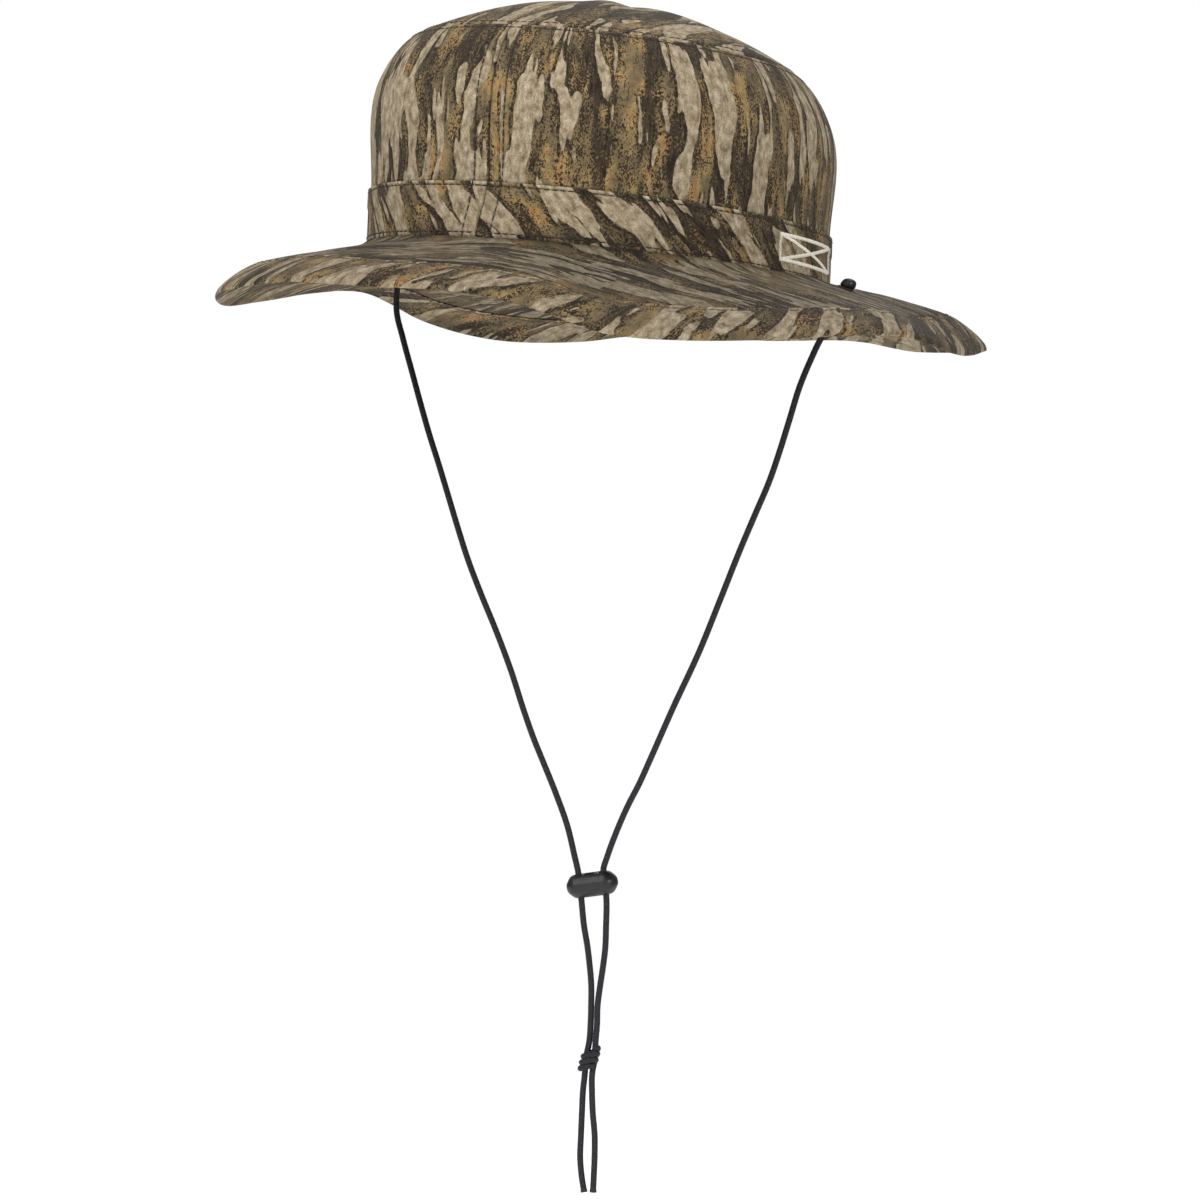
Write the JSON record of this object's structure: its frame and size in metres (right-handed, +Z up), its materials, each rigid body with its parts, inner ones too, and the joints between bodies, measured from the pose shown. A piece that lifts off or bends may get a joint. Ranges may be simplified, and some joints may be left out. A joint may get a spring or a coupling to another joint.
{
  "type": "boonie hat",
  "caption": "Soft oval-crowned boonie hat with a wide wavy stitched brim, sweatband and lining, and a hanging braided chin cord with a sliding two-hole lock and a knot.",
  "frame": {"origin": "centre of the head opening, in the plane of the crown and brim seam, where the hat sits on the head", "axes": "+Z up along the crown, -Y to the wearer's front, +X to the wearer's left"},
  "size_m": [0.29, 0.324, 0.4624],
  "materials": {
    "shell_cloth": "printed brushed shell cloth, matt",
    "brim_cloth": "printed brushed shell cloth, matt",
    "stiffener": "pressed felt stiffener",
    "sweatband": "soft knitted sweatband",
    "lining": "smooth woven lining",
    "tape": "folded cotton tape",
    "label": "plain woven label, blank",
    "badge_thread": "off-white embroidery thread",
    "eyelet_metal": "blackened brass",
    "cord": "round braided cord, near black",
    "lock_plastic": "satin moulded plastic"
  },
  "bodies": {
    "root": {"crown_tip": "shell_cloth", "crown_side_left": "shell_cloth", "crown_side_right": "shell_cloth", "crown_band_left": "shell_cloth", "crown_band_right": "shell_cloth", "brim_top_ply": "brim_cloth", "brim_interlining": "stiffener", "brim_under_ply": "brim_cloth", "brim_edge_facing": "brim_cloth", "sweatband": "sweatband", "lining_tip": "lining", "lining_side_left": "lining", "lining_side_right": "lining", "front_seam_tape": "tape", "back_seam_tape": "tape", "top_seam_binding": "tape", "root_seam_binding": "tape", "size_label": "label", "side_badge": "badge_thread", "eyelet_left": "eyelet_metal", "eyelet_right": "eyelet_metal", "eyelet_washer_left": "eyelet_metal", "eyelet_washer_right": "eyelet_metal", "cord_stop_left": "cord", "cord_stop_right": "cord"},
    "chin_cord": {"cord_strand_left": "cord", "cord_strand_right": "cord", "cord_loop_left": "cord", "cord_loop_right": "cord", "cord_knot": "cord", "cord_tail_left": "cord", "cord_tail_right": "cord", "cord_tip_left": "cord", "cord_tip_right": "cord"},
    "cord_lock": {"cord_lock": "lock_plastic"}
  },
  "joints": [
    {"name": "chin_cord_swing", "type": "hinge", "parent": "root", "child": "chin_cord", "pos_m": [0, 0.015, -0.008], "axis": [1, 0, 0], "range_deg": [-70, 70]},
    {"name": "cord_lock_slide", "type": "slide", "parent": "chin_cord", "child": "cord_lock", "axis": [-0.0895, 0, 0.996], "range_m": [-0.03, 0.1], "deforming": ["cord_strand_left", "cord_strand_right", "cord_loop_left", "cord_loop_right"]}
  ]
}
